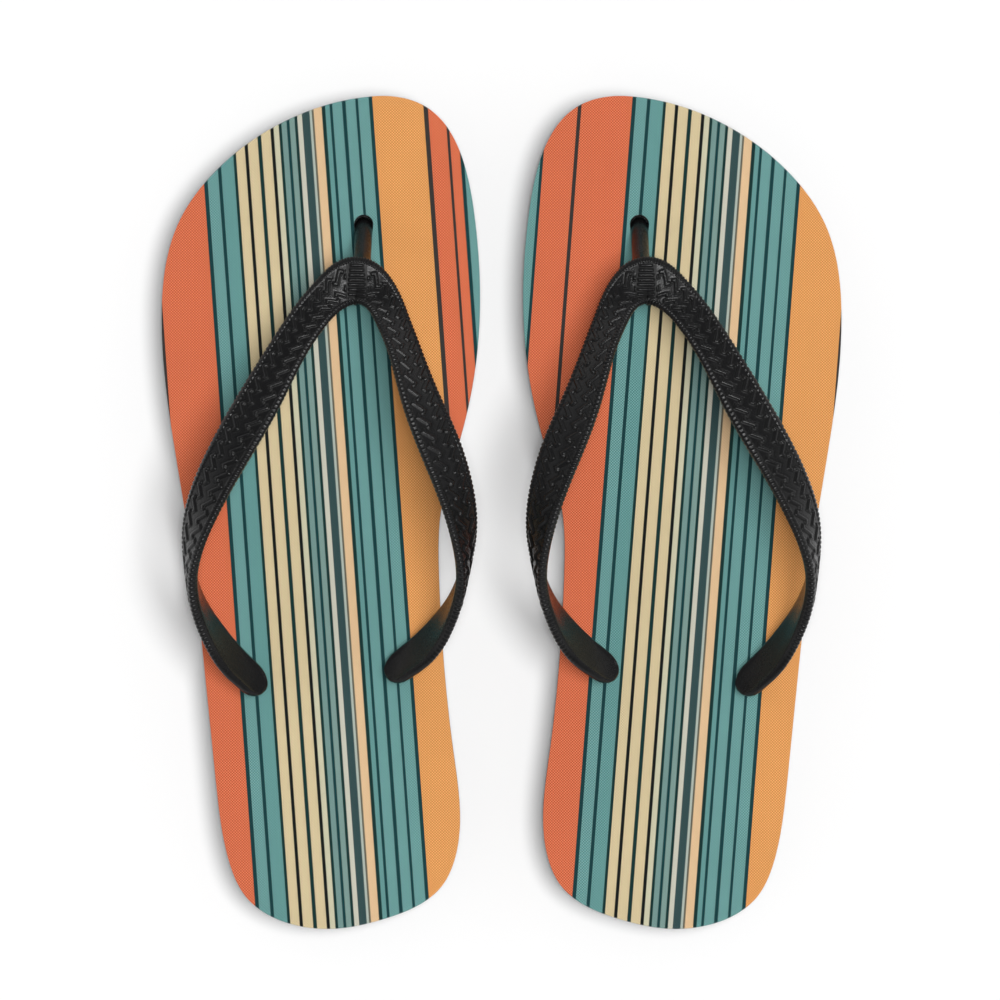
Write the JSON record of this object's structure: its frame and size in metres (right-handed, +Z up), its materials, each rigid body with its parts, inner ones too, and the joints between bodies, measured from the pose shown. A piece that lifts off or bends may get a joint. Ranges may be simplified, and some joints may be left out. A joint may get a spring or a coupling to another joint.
{
  "type": "flip flop",
  "caption": "Pair of thong flip flops: striped printed fabric on a foam sole, rubber outsole with cross tread, and a moulded black rubber V strap with a toe post.",
  "frame": {"origin": "on the floor, midway between the two soles along X and Y", "axes": "+Y from heels to toes, +X towards the right shoe, +Z up"},
  "size_m": [0.2204, 0.2701, 0.054],
  "materials": {
    "printed_fabric": "fine woven, matt, printed with stripes",
    "footbed_foam": "matt closed-cell foam",
    "outsole_rubber": "matt, fine grained",
    "strap_rubber": "satin, embossed on the outer face"
  },
  "bodies": {
    "left_forefoot": {"left_top_sheet_front": "printed_fabric", "left_footbed_front": "footbed_foam", "left_outsole_front": "outsole_rubber", "left_strap": "strap_rubber"},
    "left_heel": {"left_top_sheet_rear": "printed_fabric", "left_footbed_rear": "footbed_foam", "left_outsole_rear": "outsole_rubber"},
    "right_forefoot": {"right_top_sheet_front": "printed_fabric", "right_footbed_front": "footbed_foam", "right_outsole_front": "outsole_rubber", "right_strap": "strap_rubber"},
    "right_heel": {"right_top_sheet_rear": "printed_fabric", "right_footbed_rear": "footbed_foam", "right_outsole_rear": "outsole_rubber"}
  },
  "joints": [
    {"name": "left_sole_flex", "type": "hinge", "parent": "left_forefoot", "child": "left_heel", "pos_m": [-0.0595, 0.041, 0.015], "axis": [-1, 0, 0], "range_deg": [0, 50], "stiffness_Nm_per_rad": 1.6, "deforming": ["left_strap"]},
    {"name": "right_sole_flex", "type": "hinge", "parent": "right_forefoot", "child": "right_heel", "pos_m": [0.0595, 0.041, 0.015], "axis": [-1, 0, 0], "range_deg": [0, 50], "stiffness_Nm_per_rad": 1.6, "deforming": ["right_strap"]},
    {"name": "right_lift", "type": "slide", "parent": "left_forefoot", "child": "right_forefoot", "axis": [0, 0, 1], "range_m": [0, 0.12]}
  ]
}
